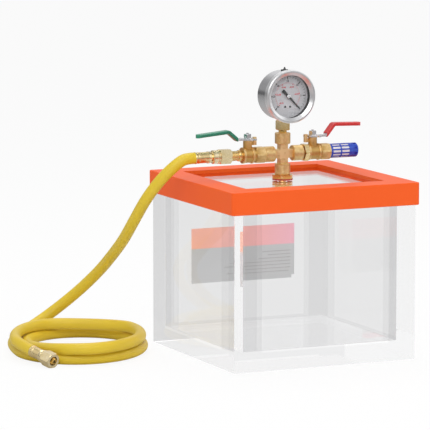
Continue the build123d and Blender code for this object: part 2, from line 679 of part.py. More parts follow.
def gauge_socket():
    """Brass socket: square for the spanner, neck and male thread down into the cross."""
    half = SOCKET_FLATS / 2
    seat = -GAUGE_HEIGHT + CROSS_REACH
    square_low = seat + STEM_NECK
    square_high = square_low + SOCKET_SQUARE_LENGTH
    thread_end = seat - SOCKET_DEPTH + 1.0
    square = slab(-half, half, -half, half, square_low, square_high)
    body = chamfer(square.faces().filter_by(Axis.Z).edges(), 0.8)
    width, depth, bottom, top = SOCKET_BLOCK
    body += rod("z", square_high - 0.5, bottom + 0.5, SOCKET_ROUND)
    body += slab(-width / 2, width / 2, -depth / 2, depth / 2, bottom, top)
    body += rod("z", thread_end, square_low + 0.5, PIPE_THREAD)
    body -= tube("z", seat, square_low, PIPE_THREAD + 1, STEM_NECK_RADIUS)
    return body - rod("z", thread_end - 1, square_high, 1.6)


def gauge_dial():
    """Dial plate and the two screws that hold it to the movement."""
    dial = rod("y", DIAL_FACE, DIAL_FACE + DIAL_SHEET, DIAL_RADIUS)
    dial -= rod("y", DIAL_FACE - 1, DIAL_FACE + 2, ARBOR_RADIUS + 1.0)
    screws = []
    for x in (-3.3, 3.3):
        place = (x, -13.0)
        screw = rod("y", DIAL_FACE - 0.5, DIAL_FACE, 1.25, place)
        screw += rod("y", DIAL_FACE - 0.1, DIAL_FACE + DIAL_SHEET + 0.1, 0.6, place)
        screws.append(screw + rod("y", DIAL_FACE + DIAL_SHEET, MOVEMENT_FRONT, 1.25, place))
        dial -= rod("y", DIAL_FACE - 1, DIAL_FACE + 2, 0.65, place)
    return dial, Compound(children=screws)


def gauge_pointer():
    """Black pointer with its hub, at rest on nought."""
    back = DIAL_FACE - POINTER_GAP
    face = Rot(0, 0, POINTER_REST) * pointer_outline()
    return on_dial(face, POINTER_SHEET, back - POINTER_SHEET) + rod("y", back - 1.8, back + 0.8, 2.0)


def vent_plug():
    """Rubber plug in the top of the case."""
    place = (0.0, VENT_Y)
    plug = rod("z", CASE_RADIUS - 2.0, CASE_RADIUS + 1.6, VENT_RADIUS, place)
    plug += rod("z", CASE_RADIUS, CASE_RADIUS + 1.6, VENT_RADIUS + 1.2, place)
    return plug + Pos(0, VENT_Y, CASE_RADIUS + 3.0) * Cone(1.7, 0.7, 3.0)


def gauge():
    distance = GEAR_MODULE * PINION_TEETH * (1 + GEAR_RATIO) / 2
    dial, screws = gauge_dial()
    parts = {
        "gauge_case": gauge_case(),
        "gauge_bezel": gauge_bezel(),
        "gauge_lens_seal": gauge_seal(),
        "gauge_lens": rod("y", LENS_FRONT, LENS_FRONT + LENS_SHEET, LENS_RADIUS),
        "gauge_dial": dial,
        "gauge_dial_screws": screws,
        "gauge_pointer": gauge_pointer(),
        "gauge_pinion": pinion_arbor(DIAL_FACE - POINTER_GAP + 0.8),
        "gauge_movement_plates": movement_plates(distance),
        "gauge_sector_gear": sector_gear(distance),
        "gauge_bourdon_tube": bourdon_tube(),
        "gauge_socket": gauge_socket(),
        "gauge_vent_plug": vent_plug(),
    }
    centre = Pos(0, 0, PIPE_Z + GAUGE_HEIGHT)
    return {name: centre * shape for name, shape in parts.items()}


# ---- hose and its couplings ----------------------------------------------------------------
def coupling():
    """Ferrule, brass tail and flare nut along +X from the end of the hose at x = 0."""
    ferrule = break_rims(rod("x", 0, FERRULE_LENGTH, FERRULE_RADIUS), 0.5)
    groove = FERRULE_LENGTH - 2.8
    ferrule -= tube("x", groove, groove + 1.0, FERRULE_RADIUS + 1, FERRULE_RADIUS - 0.6)
    ferrule -= rod("x", -1, FERRULE_LENGTH + 1, TAIL_RADIUS + 0.05)
    nut_back = FERRULE_LENGTH + TAIL_GAP
    mouth = nut_back + FLARE_NUT_LENGTH
    seat = mouth - FLARE_NUT_THREAD
    tail = rod("x", 0, seat - 1.6, TAIL_RADIUS)
    tail += rod("x", seat - 3.2, seat - 1.6, TAIL_SHOULDER)
    tail += Pos(seat - 0.8, 0, 0) * Rot(0, 90, 0) * Cone(TAIL_SHOULDER, TAIL_SHOULDER - 1.6, 1.6)
    tail -= rod("x", -1, seat + 1, 2.4)
    nut = hexagon("x", nut_back + 3.0, mouth, FLARE_NUT_FLATS, corner_cut=1.2)
    nut += break_rims(rod("x", nut_back, nut_back + 3.4, FLARE_NUT_FLATS / 2), 0.8)
    nut -= rod("x", nut_back - 1, mouth, TAIL_RADIUS + SWIVEL_PLAY)
    nut -= rod("x", seat - 3.2 - SWIVEL_PLAY, seat, FLARE_THREAD + THREAD_GAP + 0.3)
    nut -= rod("x", seat - 0.5, mouth + 1, FLARE_THREAD + THREAD_GAP)
    return {"ferrule": ferrule, "tail": tail, "flare_nut": nut}


def arcs(points):
    """Largest smooth radii for a route: each arc takes a fixed share of its shorter run."""
    radii = []
    for before, here, after in zip(points, points[1:], points[2:]):
        run_in, run_out = Vector(*here) - Vector(*before), Vector(*after) - Vector(*here)
        turn = radians(run_in.get_angle(run_out))
        radii.append(HOSE_ARC * min(run_in.length, run_out.length) / tan(turn / 2))
    return radii


def hose_tube(name, points):
    """Round hose along straight runs joined by tangent arcs."""
    radii = arcs(points)
    print(name, "arc radii", [round(r) for r in radii])
    path = FilletPolyline(*points, radius=radii)
    start = Plane(origin=path @ 0, z_dir=path % 0)
    made = sweep(start * Circle(HOSE_RADIUS), path=path)
    expected = pi * HOSE_RADIUS**2 * path.length
    print(name, "length", round(path.length), "volume share", round(made.volume / expected, 4))
    return made


def hose_coil():
    """Outer shape of the stacked turns: an oval ring standing on the bench."""
    height = 2 * HOSE_RADIUS * COIL_LAYERS
    outer = Ellipse(COIL_LONG + HOSE_RADIUS, COIL_SHORT + HOSE_RADIUS)
    inner = Ellipse(COIL_LONG - HOSE_RADIUS, COIL_SHORT - HOSE_RADIUS)
    ring = extrude(outer - inner, height)
    return Pos(*COIL_CENTRE, 0) * Rot(0, 0, COIL_TURN) * ring


def hose():
    parts = {"hose_coil": hose_coil()}
    length = FERRULE_LENGTH + TAIL_GAP + FLARE_NUT_LENGTH
    near_start = LEFT_STEM - VALVE_SHORT - FLARE_BARE - length
    parts |= {f"manifold_{name}": Pos(near_start, 0, PIPE_Z) * shape for name, shape in coupling().items()}
    drop = hose_tube("hose_drop", [(near_start, 0, PIPE_Z), *HOSE_DROP])
    parts["hose_drop"] = (drop - parts["hose_coil"]).solids().sort_by(SortBy.VOLUME)[-1]
    free = Pos(*END_START) * Rot(0, 0, END_BEARING) * Rot(0, END_TILT, 0)
    parts |= {f"free_{name}": free * shape for name, shape in coupling().items()}
    lead_in = (free * Pos(-END_LEAD, 0, 0)).position
    end = hose_tube("hose_end", [*HOSE_END, tuple(lead_in), END_START])
    parts["hose_end"] = (end - parts["hose_coil"]).solids().sort_by(SortBy.VOLUME)[-1]
    return parts


def build():
    parts = chamber()
    parts["rear_label"] = rear_label()
    parts |= lid()
    parts |= bulkhead()
    parts["cross_fitting"] = cross()
    parts |= manifold_joints()
    parts |= valves()
    parts |= silencer()
    parts |= gauge()
    parts |= hose()
    return parts


save(build())
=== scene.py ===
# %% [markdown]
# # A clear vacuum chamber
# The chamber is an acrylic box under a clear lid with an orange silicone seal. A brass manifold
# on the lid carries a gauge, two ball valves and a blue silencer, and a yellow hose runs down
# to a loose coil. Most rigid pieces come from the CAD frame and only get a finish here. The
# pieces that the CAD keeps plain are built here: the box as one clear shell, the printed film
# and dial, the screw threads, the crimped sleeves and the hose.

from math import cos, pi, radians, sin

import bmesh
import bpy
from mathutils import Euler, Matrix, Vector


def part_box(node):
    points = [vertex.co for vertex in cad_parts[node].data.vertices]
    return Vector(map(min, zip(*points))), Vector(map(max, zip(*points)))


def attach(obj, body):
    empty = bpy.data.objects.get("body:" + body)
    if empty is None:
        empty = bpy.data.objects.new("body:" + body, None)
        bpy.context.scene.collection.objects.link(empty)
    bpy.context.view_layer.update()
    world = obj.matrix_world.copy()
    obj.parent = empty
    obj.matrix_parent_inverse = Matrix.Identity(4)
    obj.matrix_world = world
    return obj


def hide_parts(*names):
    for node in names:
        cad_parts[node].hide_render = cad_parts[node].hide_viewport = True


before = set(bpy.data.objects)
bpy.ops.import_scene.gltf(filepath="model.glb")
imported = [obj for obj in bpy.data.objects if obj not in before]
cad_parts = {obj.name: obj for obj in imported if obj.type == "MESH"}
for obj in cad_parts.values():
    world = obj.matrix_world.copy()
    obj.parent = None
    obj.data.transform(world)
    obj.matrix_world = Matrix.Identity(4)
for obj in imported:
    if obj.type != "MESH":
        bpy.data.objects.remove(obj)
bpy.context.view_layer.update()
MM = 0.001

# %% [markdown]
# A material is a tree of nodes. It could be wired by hand in the editor, but a script can be
# read and run again. The few moves that come back in every tree are helpers: add a node, feed a
# socket from a number or from another node, do a sum, mix two colours, mix two shaders, and
# stretch a value to a new range.

# %% Helpers for node trees
def add(tree, kind, **settings):
    node = tree.nodes.new(kind)
    for label, value in settings.items():
        setattr(node, label, value)
    return node


def feed(tree, socket, value):
    if isinstance(value, bpy.types.NodeSocket):
        tree.links.new(value, socket)
    else:
        socket.default_value = value


def maths(tree, operation, *values, **settings):
    node = add(tree, "ShaderNodeMath", operation=operation, **settings)
    for socket, value in zip(node.inputs, values):
        feed(tree, socket, value)
    return node.outputs[0]


def mix_colours(tree, share, first, second):
    node = add(tree, "ShaderNodeMix", data_type="RGBA")
    for label, value in (("Factor", share), ("A", first), ("B", second)):
        feed(tree, node.inputs[label], value)
    return node.outputs["Result"]


def mix_shaders(tree, share, first, second):
    node = add(tree, "ShaderNodeMixShader")
    for socket, value in zip(node.inputs, (share, first, second)):
        feed(tree, socket, value)
    return node.outputs[0]


def stretch(tree, value, old=(0.0, 1.0), new=(0.0, 1.0)):
    node = add(tree, "ShaderNodeMapRange")
    feed(tree, node.inputs["Value"], value)
    for label, limit in zip(("From Min", "From Max", "To Min", "To Max"), (*old, *new)):
        feed(tree, node.inputs[label], limit)
    return node.outputs["Result"]


def position(tree, kind="Object"):
    place = add(tree, "ShaderNodeTexCoord")
    axes = add(tree, "ShaderNodeSeparateXYZ")
    feed(tree, axes.inputs[0], place.outputs[kind])
    return axes.outputs


def new_material(name):
    material = bpy.data.materials.new(name)
    material.use_nodes = True
    return material, material.node_tree, material.node_tree.nodes["Principled BSDF"]


# %% [markdown]
# Many finishes share the same small effects: a fine grain, soft blotches, and wear along
# edges. Each could be wired anew in every material. Here each is a node group that puts out
# values, so that every material sets its own scale and strength and keeps its own shader.

# %% A helper that starts a node group
def new_group(title, inputs, outputs):
    group = bpy.data.node_groups.new(title, "ShaderNodeTree")
    for label, default in inputs:
        socket = group.interface.new_socket(label, in_out="INPUT", socket_type="NodeSocketFloat")
        socket.default_value = default
    for label in outputs:
        group.interface.new_socket(label, in_out="OUTPUT", socket_type="NodeSocketFloat")
    return group, add(group, "NodeGroupInput"), add(group, "NodeGroupOutput")


# %% Grain: fine cells and soft blotches
def make_grain():
    group, start, end = new_group("grain", [("Scale", 800.0), ("Blotch", 40.0)], ["Fine", "Soft"])
    place = add(group, "ShaderNodeTexCoord")
    for label, source, detail in (("Fine", "Scale", 3.0), ("Soft", "Blotch", 4.0)):
        noise = add(group, "ShaderNodeTexNoise")
        feed(group, noise.inputs["Detail"], detail)
        feed(group, noise.inputs["Vector"], place.outputs["Object"])
        feed(group, noise.inputs["Scale"], start.outputs[source])
        feed(group, end.inputs[label], noise.outputs["Fac"])
    return group


def add_grain(tree, scale, blotch):
    surface = add(tree, "ShaderNodeGroup", node_tree=grain)
    feed(tree, surface.inputs["Scale"], scale)
    feed(tree, surface.inputs["Blotch"], blotch)
    return surface.outputs


def raise_grain(tree, shader, height, strength, depth):
    relief = add(tree, "ShaderNodeBump")
    feed(tree, relief.inputs["Strength"], strength)
    feed(tree, relief.inputs["Distance"], depth)
    feed(tree, relief.inputs["Height"], height)
    feed(tree, shader.inputs["Normal"], relief.outputs["Normal"])


grain = make_grain()
print("grain made of", len(grain.nodes), "nodes")

# %% Edge wear: a mask that is bright where an outer edge is rubbed
EDGE_SHARPNESS = 12.0
FLAT_POINTINESS = 0.5


def make_edge_wear():
    inputs = [("Sharpness", EDGE_SHARPNESS), ("Break up", 300.0)]
    group, start, end = new_group("edge_wear", inputs, ["Mask"])
    shape = add(group, "ShaderNodeNewGeometry")
    place = add(group, "ShaderNodeTexCoord")
    noise = add(group, "ShaderNodeTexNoise")
    feed(group, noise.inputs["Vector"], place.outputs["Object"])
    feed(group, noise.inputs["Scale"], start.outputs["Break up"])
    convex = maths(group, "SUBTRACT", shape.outputs["Pointiness"], FLAT_POINTINESS)
    edge = maths(group, "MULTIPLY", convex, start.outputs["Sharpness"])
    mask = maths(group, "MULTIPLY", edge, noise.outputs["Fac"], use_clamp=True)
    feed(group, end.inputs["Mask"], mask)
    return group


edge_wear = make_edge_wear()
print("shared effects:", grain.name, edge_wear.name)

# %% [markdown]
# One recipe covers the opaque finishes. Two colours are mixed by the soft blotches, worn edges
# turn to a third colour, the roughness moves between two values, and the fine grain drives a
# bump. Cast brass, turned brass, vinyl and rubber differ only in the numbers. The silicone
# also gets a painted glow in its own colour, which stands in for light scattered inside it.

# %% The recipe for an opaque finish
def finish(name, colour, shade, rough, metallic=0.0, scale=800.0, blotch=40.0, bump=0.1,
           depth=0.0001, worn=None, specular=0.5, glow=0.0):
    material, tree, shader = new_material(name)
    feed(tree, shader.inputs["Metallic"], metallic)
    feed(tree, shader.inputs["Specular IOR Level"], specular)
    surface = add_grain(tree, scale, blotch)
    paint = mix_colours(tree, surface["Soft"], (*shade, 1.0), (*colour, 1.0))
    if worn:
        edges = add(tree, "ShaderNodeGroup", node_tree=edge_wear)
        feed(tree, edges.inputs["Sharpness"], EDGE_SHARPNESS)
        paint = mix_colours(tree, edges.outputs["Mask"], paint, (*worn, 1.0))
    feed(tree, shader.inputs["Base Color"], paint)
    # Painted glow: the paint is also given out as light, at the given strength.
    if glow:
        feed(tree, shader.inputs["Emission Color"], paint)
        feed(tree, shader.inputs["Emission Strength"], glow)
    feed(tree, shader.inputs["Roughness"], stretch(tree, surface["Soft"], new=rough))
    raise_grain(tree, shader, surface["Fine"], bump, depth)
    return material


# %% [markdown]
# Turned brass is smooth and bright. Cast brass comes out of a sand mould, so it is duller,
# blotchy and coarse. The hose fittings are a paler brass, and the levers are zinc-plated
# steel. The gauge has a polished case and a softer, brushed bezel.

# %% Brass, steel and chrome
turned_brass = finish("turned_brass", (0.74, 0.47, 0.15), (0.66, 0.40, 0.115), (0.16, 0.26), 1.0,
                      scale=1500.0, blotch=90.0, bump=0.10, worn=(0.95, 0.76, 0.42))
cast_brass = finish("cast_brass", (0.70, 0.44, 0.15), (0.46, 0.27, 0.08), (0.28, 0.42), 1.0,
                    scale=900.0, blotch=260.0, bump=1.0, depth=0.0005, worn=(0.93, 0.72, 0.38))
pale_brass = finish("pale_brass", (0.84, 0.68, 0.36), (0.74, 0.56, 0.26), (0.18, 0.32), 1.0,
                    scale=1500.0, blotch=90.0, bump=0.12, worn=(0.97, 0.86, 0.6))
steel = finish("zinc_steel", (0.62, 0.62, 0.63), (0.46, 0.46, 0.48), (0.18, 0.34), 1.0,
               scale=1800.0, blotch=120.0, bump=0.10, worn=(0.85, 0.85, 0.86))
gauge_chrome = finish("gauge_chrome", (0.66, 0.66, 0.67), (0.58, 0.58, 0.59), (0.15, 0.24), 1.0,
                      scale=1200.0, blotch=25.0, bump=0.05, worn=(0.9, 0.9, 0.9))
bezel_steel = finish("bezel_steel", (0.73, 0.73, 0.74), (0.67, 0.67, 0.68), (0.27, 0.35), 1.0,
                     scale=1200.0, blotch=25.0, bump=0.05, worn=(0.9, 0.9, 0.9))
metals = (turned_brass, cast_brass, pale_brass, steel, gauge_chrome, bezel_steel)
print("metals:", [metal.name for metal in metals])

# %% Silicone, vinyl, rubber, plastic and ink
# The silicone carries a painted glow (glow=0.22), in place of the light that scatters inside it.
orange_silicone = finish("orange_silicone", (0.75, 0.096, 0.012), (0.71, 0.087, 0.010),
                         (0.38, 0.48), scale=500.0, blotch=14.0, bump=0.04, specular=0.2,
                         glow=0.22)
green_vinyl = finish("green_vinyl", (0.018, 0.19, 0.115), (0.014, 0.15, 0.09), (0.22, 0.34),
                     scale=700.0, blotch=60.0, bump=0.12, worn=(0.05, 0.33, 0.19))
red_vinyl = finish("red_vinyl", (0.62, 0.022, 0.022), (0.48, 0.014, 0.014), (0.22, 0.34),
                   scale=700.0, blotch=60.0, bump=0.12, worn=(0.75, 0.10, 0.09))
hose_rubber = finish("yellow_hose", (0.77, 0.565, 0.035), (0.67, 0.48, 0.025), (0.36, 0.48),
                     scale=900.0, blotch=30.0, bump=0.16, depth=0.0002, specular=0.4)
blue_plastic = finish("blue_plastic", (0.005, 0.035, 0.48), (0.004, 0.025, 0.38), (0.28, 0.40),
                      scale=900.0, blotch=80.0, bump=0.08, worn=(0.05, 0.14, 0.62))
white_felt = finish("sintered_white", (0.86, 0.86, 0.87), (0.74, 0.74, 0.76), (0.75, 0.9),
                    scale=2600.0, blotch=500.0, bump=0.6, depth=0.0002)
black_rubber = finish("black_rubber", (0.012, 0.012, 0.013), (0.02, 0.02, 0.02), (0.42, 0.55),
                      scale=900.0, bump=0.15)
washer_rubber = finish("red_washer", (0.55, 0.06, 0.035), (0.45, 0.04, 0.025), (0.4, 0.5),
                       scale=900.0, bump=0.15)
seat_plastic = finish("seat_plastic", (0.86, 0.86, 0.83), (0.78, 0.78, 0.75), (0.35, 0.45))
black_paint = finish("black_paint", (0.008, 0.008, 0.009), (0.012, 0.012, 0.013), (0.30, 0.4),
                     scale=1500.0, bump=0.06)
dial_white = finish("dial_white", (0.56, 0.56, 0.58), (0.53, 0.53, 0.55), (0.5, 0.6),
                    scale=1500.0, blotch=20.0, bump=0.03)
dial_red = finish("dial_red", (0.60, 0.02, 0.03), (0.52, 0.015, 0.02), (0.5, 0.6), bump=0.0)
bar_ink = finish("label_bar", (0.62, 0.62, 0.62), (0.58, 0.58, 0.58), (0.5, 0.6), bump=0.0)
print("materials so far:", len(bpy.data.materials))

# %% [markdown]
# Acrylic is nearly colourless, but its polished faces hold faint scratches, and the thick
# base and corners look greyer than the walls. A volume could take the light up, but it is slow
# to render, so the grey is a plain transmission colour behind a mask of position. Light that
# has been mirrored twice inside a plate is let out through Alpha, since a real plate also sheds
# it at its edges.

# %% Where the box is thick: its base, and the four corner columns
MASK_MARGIN = 0.6 * MM
BASE_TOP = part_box("base_plate")[1][2] + MASK_MARGIN
left_low, left_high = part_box("left_wall")
WALL = left_high[0] - left_low[0]
WALL_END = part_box("front_wall")[1][0] - WALL


def thick_parts(tree):
    axes = position(tree)
    base = maths(tree, "LESS_THAN", axes["Z"], BASE_TOP)
    past_x = maths(tree, "GREATER_THAN", maths(tree, "ABSOLUTE", axes["X"]), WALL_END)
    past_y = maths(tree, "GREATER_THAN", maths(tree, "ABSOLUTE", axes["Y"]), WALL_END)
    return maths(tree, "MAXIMUM", base, maths(tree, "MULTIPLY", past_x, past_y))


print("wall", round(WALL / MM, 2), "mm thick")

# %% Clear acrylic and gauge glass
TWICE_MIRRORED = 1.5


def clear(name, tint, ior, scratches, thick=None):
    material, tree, shader = new_material(name)
    colour = (*tint, 1.0)
    if thick:
        colour = mix_colours(tree, thick_parts(tree), colour, (*thick, 1.0))
    feed(tree, shader.inputs["Base Color"], colour)
    feed(tree, shader.inputs["Metallic"], 0.0)
    feed(tree, shader.inputs["Transmission Weight"], 1.0)
    feed(tree, shader.inputs["IOR"], ior)
    path = add(tree, "ShaderNodeLightPath")
    held = maths(tree, "LESS_THAN", path.outputs["Glossy Depth"], TWICE_MIRRORED)
    feed(tree, shader.inputs["Alpha"], held)
    surface = add_grain(tree, scale=260.0, blotch=6.0)
    feed(tree, shader.inputs["Roughness"], stretch(tree, surface["Soft"], new=(0.0, 0.02)))
    raise_grain(tree, shader, surface["Fine"], scratches, depth=0.00005)
    return material


box_acrylic = clear("clear_acrylic", (0.982, 0.983, 0.985), 1.22, 0.02, thick=(0.85, 0.85, 0.855))
lid_acrylic = clear("lid_acrylic", (0.985, 0.986, 0.988), 1.25, 0.02)
lens_glass = clear("lens_glass", (0.98, 0.98, 0.985), 1.45, 0.01)
print("clear materials:", box_acrylic.name, lid_acrylic.name, lens_glass.name)

# %% [markdown]
# Each CAD node keeps its shape and takes a finish. The list goes material by material. Clear
# pieces cast no shadow here, because a path tracer without caustics would make the shadow of a
# clear plate as dark as that of a solid one.

# %% Give the CAD nodes their finishes
def dress(material, *nodes):
    for node in nodes:
        for slot in bpy.data.objects[node].material_slots:
            slot.material = material


def both(*names):
    return [f"{side}_valve_{name}" for side in ("left", "right") for name in names]


dress(turned_brass, "bulkhead_fitting", "bulkhead_nut", "left_nipple", "right_lock_ring",
      "gauge_socket", "gauge_pinion", "gauge_movement_plates", "gauge_sector_gear",
      "gauge_bourdon_tube", *both("retainer", "gland"))
dress(cast_brass, "cross_fitting", *both("body"))
dress(pale_brass, "manifold_ferrule", "manifold_tail", "manifold_flare_nut",
      "free_ferrule", "free_tail", "free_flare_nut")
dress(steel, *both("lever", "lever_nut", "ball", "stem"))
dress(seat_plastic, *both("seats", "packing"))
dress(orange_silicone, "lid_seal")
dress(green_vinyl, "left_valve_lever_grip")
dress(red_vinyl, "right_valve_lever_grip")
dress(blue_plastic, "silencer_body")
dress(white_felt, "silencer_felt")
dress(washer_rubber, "upper_washer", "lower_washer")
dress(gauge_chrome, "gauge_case")
dress(bezel_steel, "gauge_bezel")
# The lens seal's black edge between case and bezel is a real seal, and also a dark band set where
# the bezel's side shows a dark reflection.
dress(black_rubber, "gauge_lens_seal", "gauge_vent_plug")
dress(black_paint, "gauge_pointer", "gauge_dial_screws")
dress(dial_white, "gauge_dial")
dress(lens_glass, "gauge_lens")
dress(lid_acrylic, "lid_plate")
for node in ("gauge_lens", "lid_plate"):
    bpy.data.objects[node].visible_shadow = False
print("CAD nodes dressed")

# %% [markdown]
# A piece made here is a mesh that rides on one body of the frame.
# Flat pieces are outlines given a thickness. Small square ones are scaled cubes.

# %% Put a mesh into the scene as a piece
def show(name, data):
    made = bpy.data.objects.new(name, data)
    bpy.context.scene.collection.objects.link(made)
    return made


def piece(name, bm, material, body, smooth=True, angle=40.0):
    bmesh.ops.recalc_face_normals(bm, faces=bm.faces)
    mesh = bpy.data.meshes.new(name)
    bm.to_mesh(mesh)
    bm.free()
    if smooth:
        mesh.shade_smooth()
        mesh.set_sharp_from_angle(angle=radians(angle))
    mesh.materials.append(material)
    made = show(name, mesh)
    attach(made, body)
    return made


def flat_plate(name, outline, front, back, material, body):
    bm = bmesh.new()
    near = [bm.verts.new((x, front, z)) for x, z in outline]
    far = [bm.verts.new((x, back, z)) for x, z in outline]
    bm.faces.new(near)
    bm.faces.new(far)
    for k in range(len(near)):
        n = (k + 1) % len(near)
        bm.faces.new((near[k], near[n], far[n], far[k]))
    return piece(name, bm, material, body, smooth=False)


def block(bm, size):
    made = bmesh.ops.create_cube(bm, size=1.0)["verts"]
    bmesh.ops.scale(bm, vec=size, verts=made)
    return made


# %% [markdown]
# The five plates are bonded with solvent, which leaves joints that can hardly be seen. As five
# touching plates, the box would show doubled faces inside the clear material. As one shell,
# light bends only where it does in the real box. Its outer edges are polished to a small bevel.

# %% The bonded box as one clear shell
POLISHED_EDGE = 0.5 * MM


def box_corners(low, high):
    return [(x, y, z) for z in (low[2], high[2]) for x, y in
            ((low[0], low[1]), (high[0], low[1]), (high[0], high[1]), (low[0], high[1]))]


def make_shell():
    base_low, base_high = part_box("base_plate")
    low = Vector(base_low)
    high = Vector((base_high[0], left_high[1], left_high[2]))
    inner_low = (low.x + WALL, low.y + WALL, base_high[2])
    inner_high = (high.x - WALL, high.y - WALL, high.z)
    bm = bmesh.new()
    outer = [bm.verts.new(p) for p in box_corners(low, high)]
    inner = [bm.verts.new(p) for p in box_corners(inner_low, inner_high)]
    bm.faces.new(outer[:4])
    bm.faces.new(inner[:4])
    for k in range(4):
        n = (k + 1) % 4
        bm.faces.new((outer[k], outer[n], outer[n + 4], outer[k + 4]))
        bm.faces.new((inner[k], inner[n], inner[n + 4], inner[k + 4]))
        bm.faces.new((outer[k + 4], outer[n + 4], inner[n + 4], inner[k + 4]))
    edges = [e for e in bm.edges if e.verts[0] in outer and e.verts[1] in outer]
    bmesh.ops.bevel(bm, geom=edges, offset=POLISHED_EDGE, segments=2, affect="EDGES", profile=0.5)
    shell = piece("clear_box", bm, box_acrylic, "chamber", angle=20.0)
    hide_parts("base_plate", "front_wall", "back_wall", "left_wall", "right_wall")
    shell.visible_shadow = False
    return shell


clear_box = make_shell()
print("box faces", len(clear_box.data.polygons))

# %% [markdown]
# The printed film on the back wall has a pale red upper field and a grey lower one, with plain
# bars where print would be. The fields could be a picture. They are bands in height, which
# need none and stay sharp. The film also gets a painted glow in its own colours, which stands
# in for light coming through the thin film from behind.

# %% The two-tone finish of the film, with a painted glow
FIELD_SPLIT = 0.63


def make_film():
    low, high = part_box("rear_label")
    material, tree, shader = new_material("label_film")
    axes = position(tree)
    across = stretch(tree, axes["X"], old=(low[0], high[0]))
    warm = mix_colours(tree, across, (0.77, 0.51, 0.41, 1.0), (0.72, 0.52, 0.57, 1.0))
    above = maths(tree, "GREATER_THAN", axes["Z"], low[2] + FIELD_SPLIT * (high[2] - low[2]))
    fields = mix_colours(tree, above, (0.57, 0.57, 0.57, 1.0), warm)
    feed(tree, shader.inputs["Base Color"], fields)
    feed(tree, shader.inputs["Roughness"], 0.45)
    # Painted glow: the fields also give out light, in place of light coming through the film from
    # behind.
    feed(tree, shader.inputs["Emission Color"], fields)
    feed(tree, shader.inputs["Emission Strength"], 0.4)
    return material


label_film = make_film()
print("film", label_film.name)

# %% The film, a little narrower than its CAD node, with one corner cut
film_low, film_high = (Vector(corner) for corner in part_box("rear_label"))
film_low.x += 7.0 * MM
film_high.x -= 5.0 * MM
NOTCH = 4.0 * MM
notch_x, notch_z = film_high.x - NOTCH, film_low.z + NOTCH
film_outline = [(film_low.x, film_low.z), (notch_x, film_low.z), (notch_x, notch_z),
                (film_high.x, notch_z), (film_high.x, film_high.z), (film_low.x, film_high.z)]
rear_film = flat_plate("rear_film", film_outline, film_low.y, film_high.y, label_film,
                       "chamber")
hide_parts("rear_label")
film_wide, film_tall = film_high.x - film_low.x, film_high.z - film_low.z
print("film", round(film_wide / MM), "by", round(film_tall / MM), "mm")

# %% Plain bars on the film, where print would be
# each row: gap from the film's right edge, and length, as shares of the film's width
BAR_ROWS = ((0.04, 0.30), (0.04, 0.24), (0.04, 0.34), (0.04, 0.55),
            (0.04, 0.62), (0.04, 0.48), (0.06, 0.58))
FIRST_ROW, ROW_PITCH = 0.50, 0.062
BAR_TALL, BAR_THICK, BAR_OUT = 1.2 * MM, 0.03 * MM, 0.025 * MM

bars = bmesh.new()
for row, (gap, share) in enumerate(BAR_ROWS):
    long = share * film_wide
    middle = (film_high.x - gap * film_wide - long / 2, film_low.y - BAR_OUT,
              film_low.z + (FIRST_ROW - ROW_PITCH * row) * film_tall + BAR_TALL / 2)
    bmesh.ops.translate(bars, verts=block(bars, (long, BAR_THICK, BAR_TALL)), vec=middle)
label_bars = piece("label_bars", bars, bar_ink, "chamber", smooth=False)
print("bars", len(label_bars.data.polygons) // 6)

# %% [markdown]
# The dial has two printed scales that run anticlockwise over three quarters of a turn, from
# nought at the lower right. Ticks and numbers could be a picture on the dial. As thin raised
# ink they stay crisp from any side. Numbers come from Blender's own font and are joined into
# one mesh per colour. Angles are in degrees, and radii and widths in millimetres. A tick is
# given by the radius of its inner end and its width.

# %% Tools for the printed dial
bezel_low, bezel_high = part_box("gauge_bezel")
GAUGE = Vector((0.0, 0.0, (bezel_low[2] + bezel_high[2]) / 2))
INK_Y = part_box("gauge_dial")[0][1]
INK_THICK = 0.04
SCALE_START = 315.0
SCALE_SWEEP = 270.0


def dial_point(angle, radius):
    turn = radians(angle)
    return Vector((radius * MM * cos(turn), INK_Y, GAUGE.z + radius * MM * sin(turn)))


def tick(bm, angle, inner, outer, width):
    made = block(bm, ((outer - inner) * MM, INK_THICK * MM, width * MM))
    bmesh.ops.rotate(bm, verts=made, matrix=Euler((0, -radians(angle), 0)).to_matrix())
    bmesh.ops.translate(bm, verts=made, vec=dial_point(angle, (inner + outer) / 2))


def number(bm, text, angle, radius, size):
    curve = bpy.data.curves.new("number", "FONT")
    curve.body = text
    curve.size = size * MM
    curve.align_x = "CENTER"
    curve.align_y = "CENTER"
    curve.extrude = INK_THICK / 2 * MM
    curve.offset = 0.10 * MM
    curve.resolution_u = 3
    holder = bpy.data.objects.new("number", curve)
    mesh = bpy.data.meshes.new_from_object(holder)
    before = len(bm.verts)
    bm.from_mesh(mesh)
    bm.verts.ensure_lookup_table()
    made = bm.verts[before:]
    bmesh.ops.rotate(bm, verts=made, matrix=Euler((radians(90), 0, 0)).to_matrix())
    bmesh.ops.translate(bm, verts=made, vec=dial_point(angle, radius))
    bpy.data.objects.remove(holder)
    bpy.data.curves.remove(curve)
    bpy.data.meshes.remove(mesh)


def dial_scale(units, every, rim, long_tick, short_tick, figures, figure_size, wording):
    bm = bmesh.new()
    for unit in range(units + 1):
        angle = SCALE_START + SCALE_SWEEP * unit / units
        inner, width = short_tick if unit % every else long_tick
        tick(bm, angle, inner, rim, width)
        if unit % every == 0:
            number(bm, wording(unit), angle, figures, figure_size)
    return bm


print("gauge centre", round(GAUGE.z, 4), "m up")

# %% Black scale, nought to thirty, inside a fine ring
RING_IN, RING_OUT, RING_STEPS = 23.8, 24.0, 90
ring_step = SCALE_SWEEP / RING_STEPS

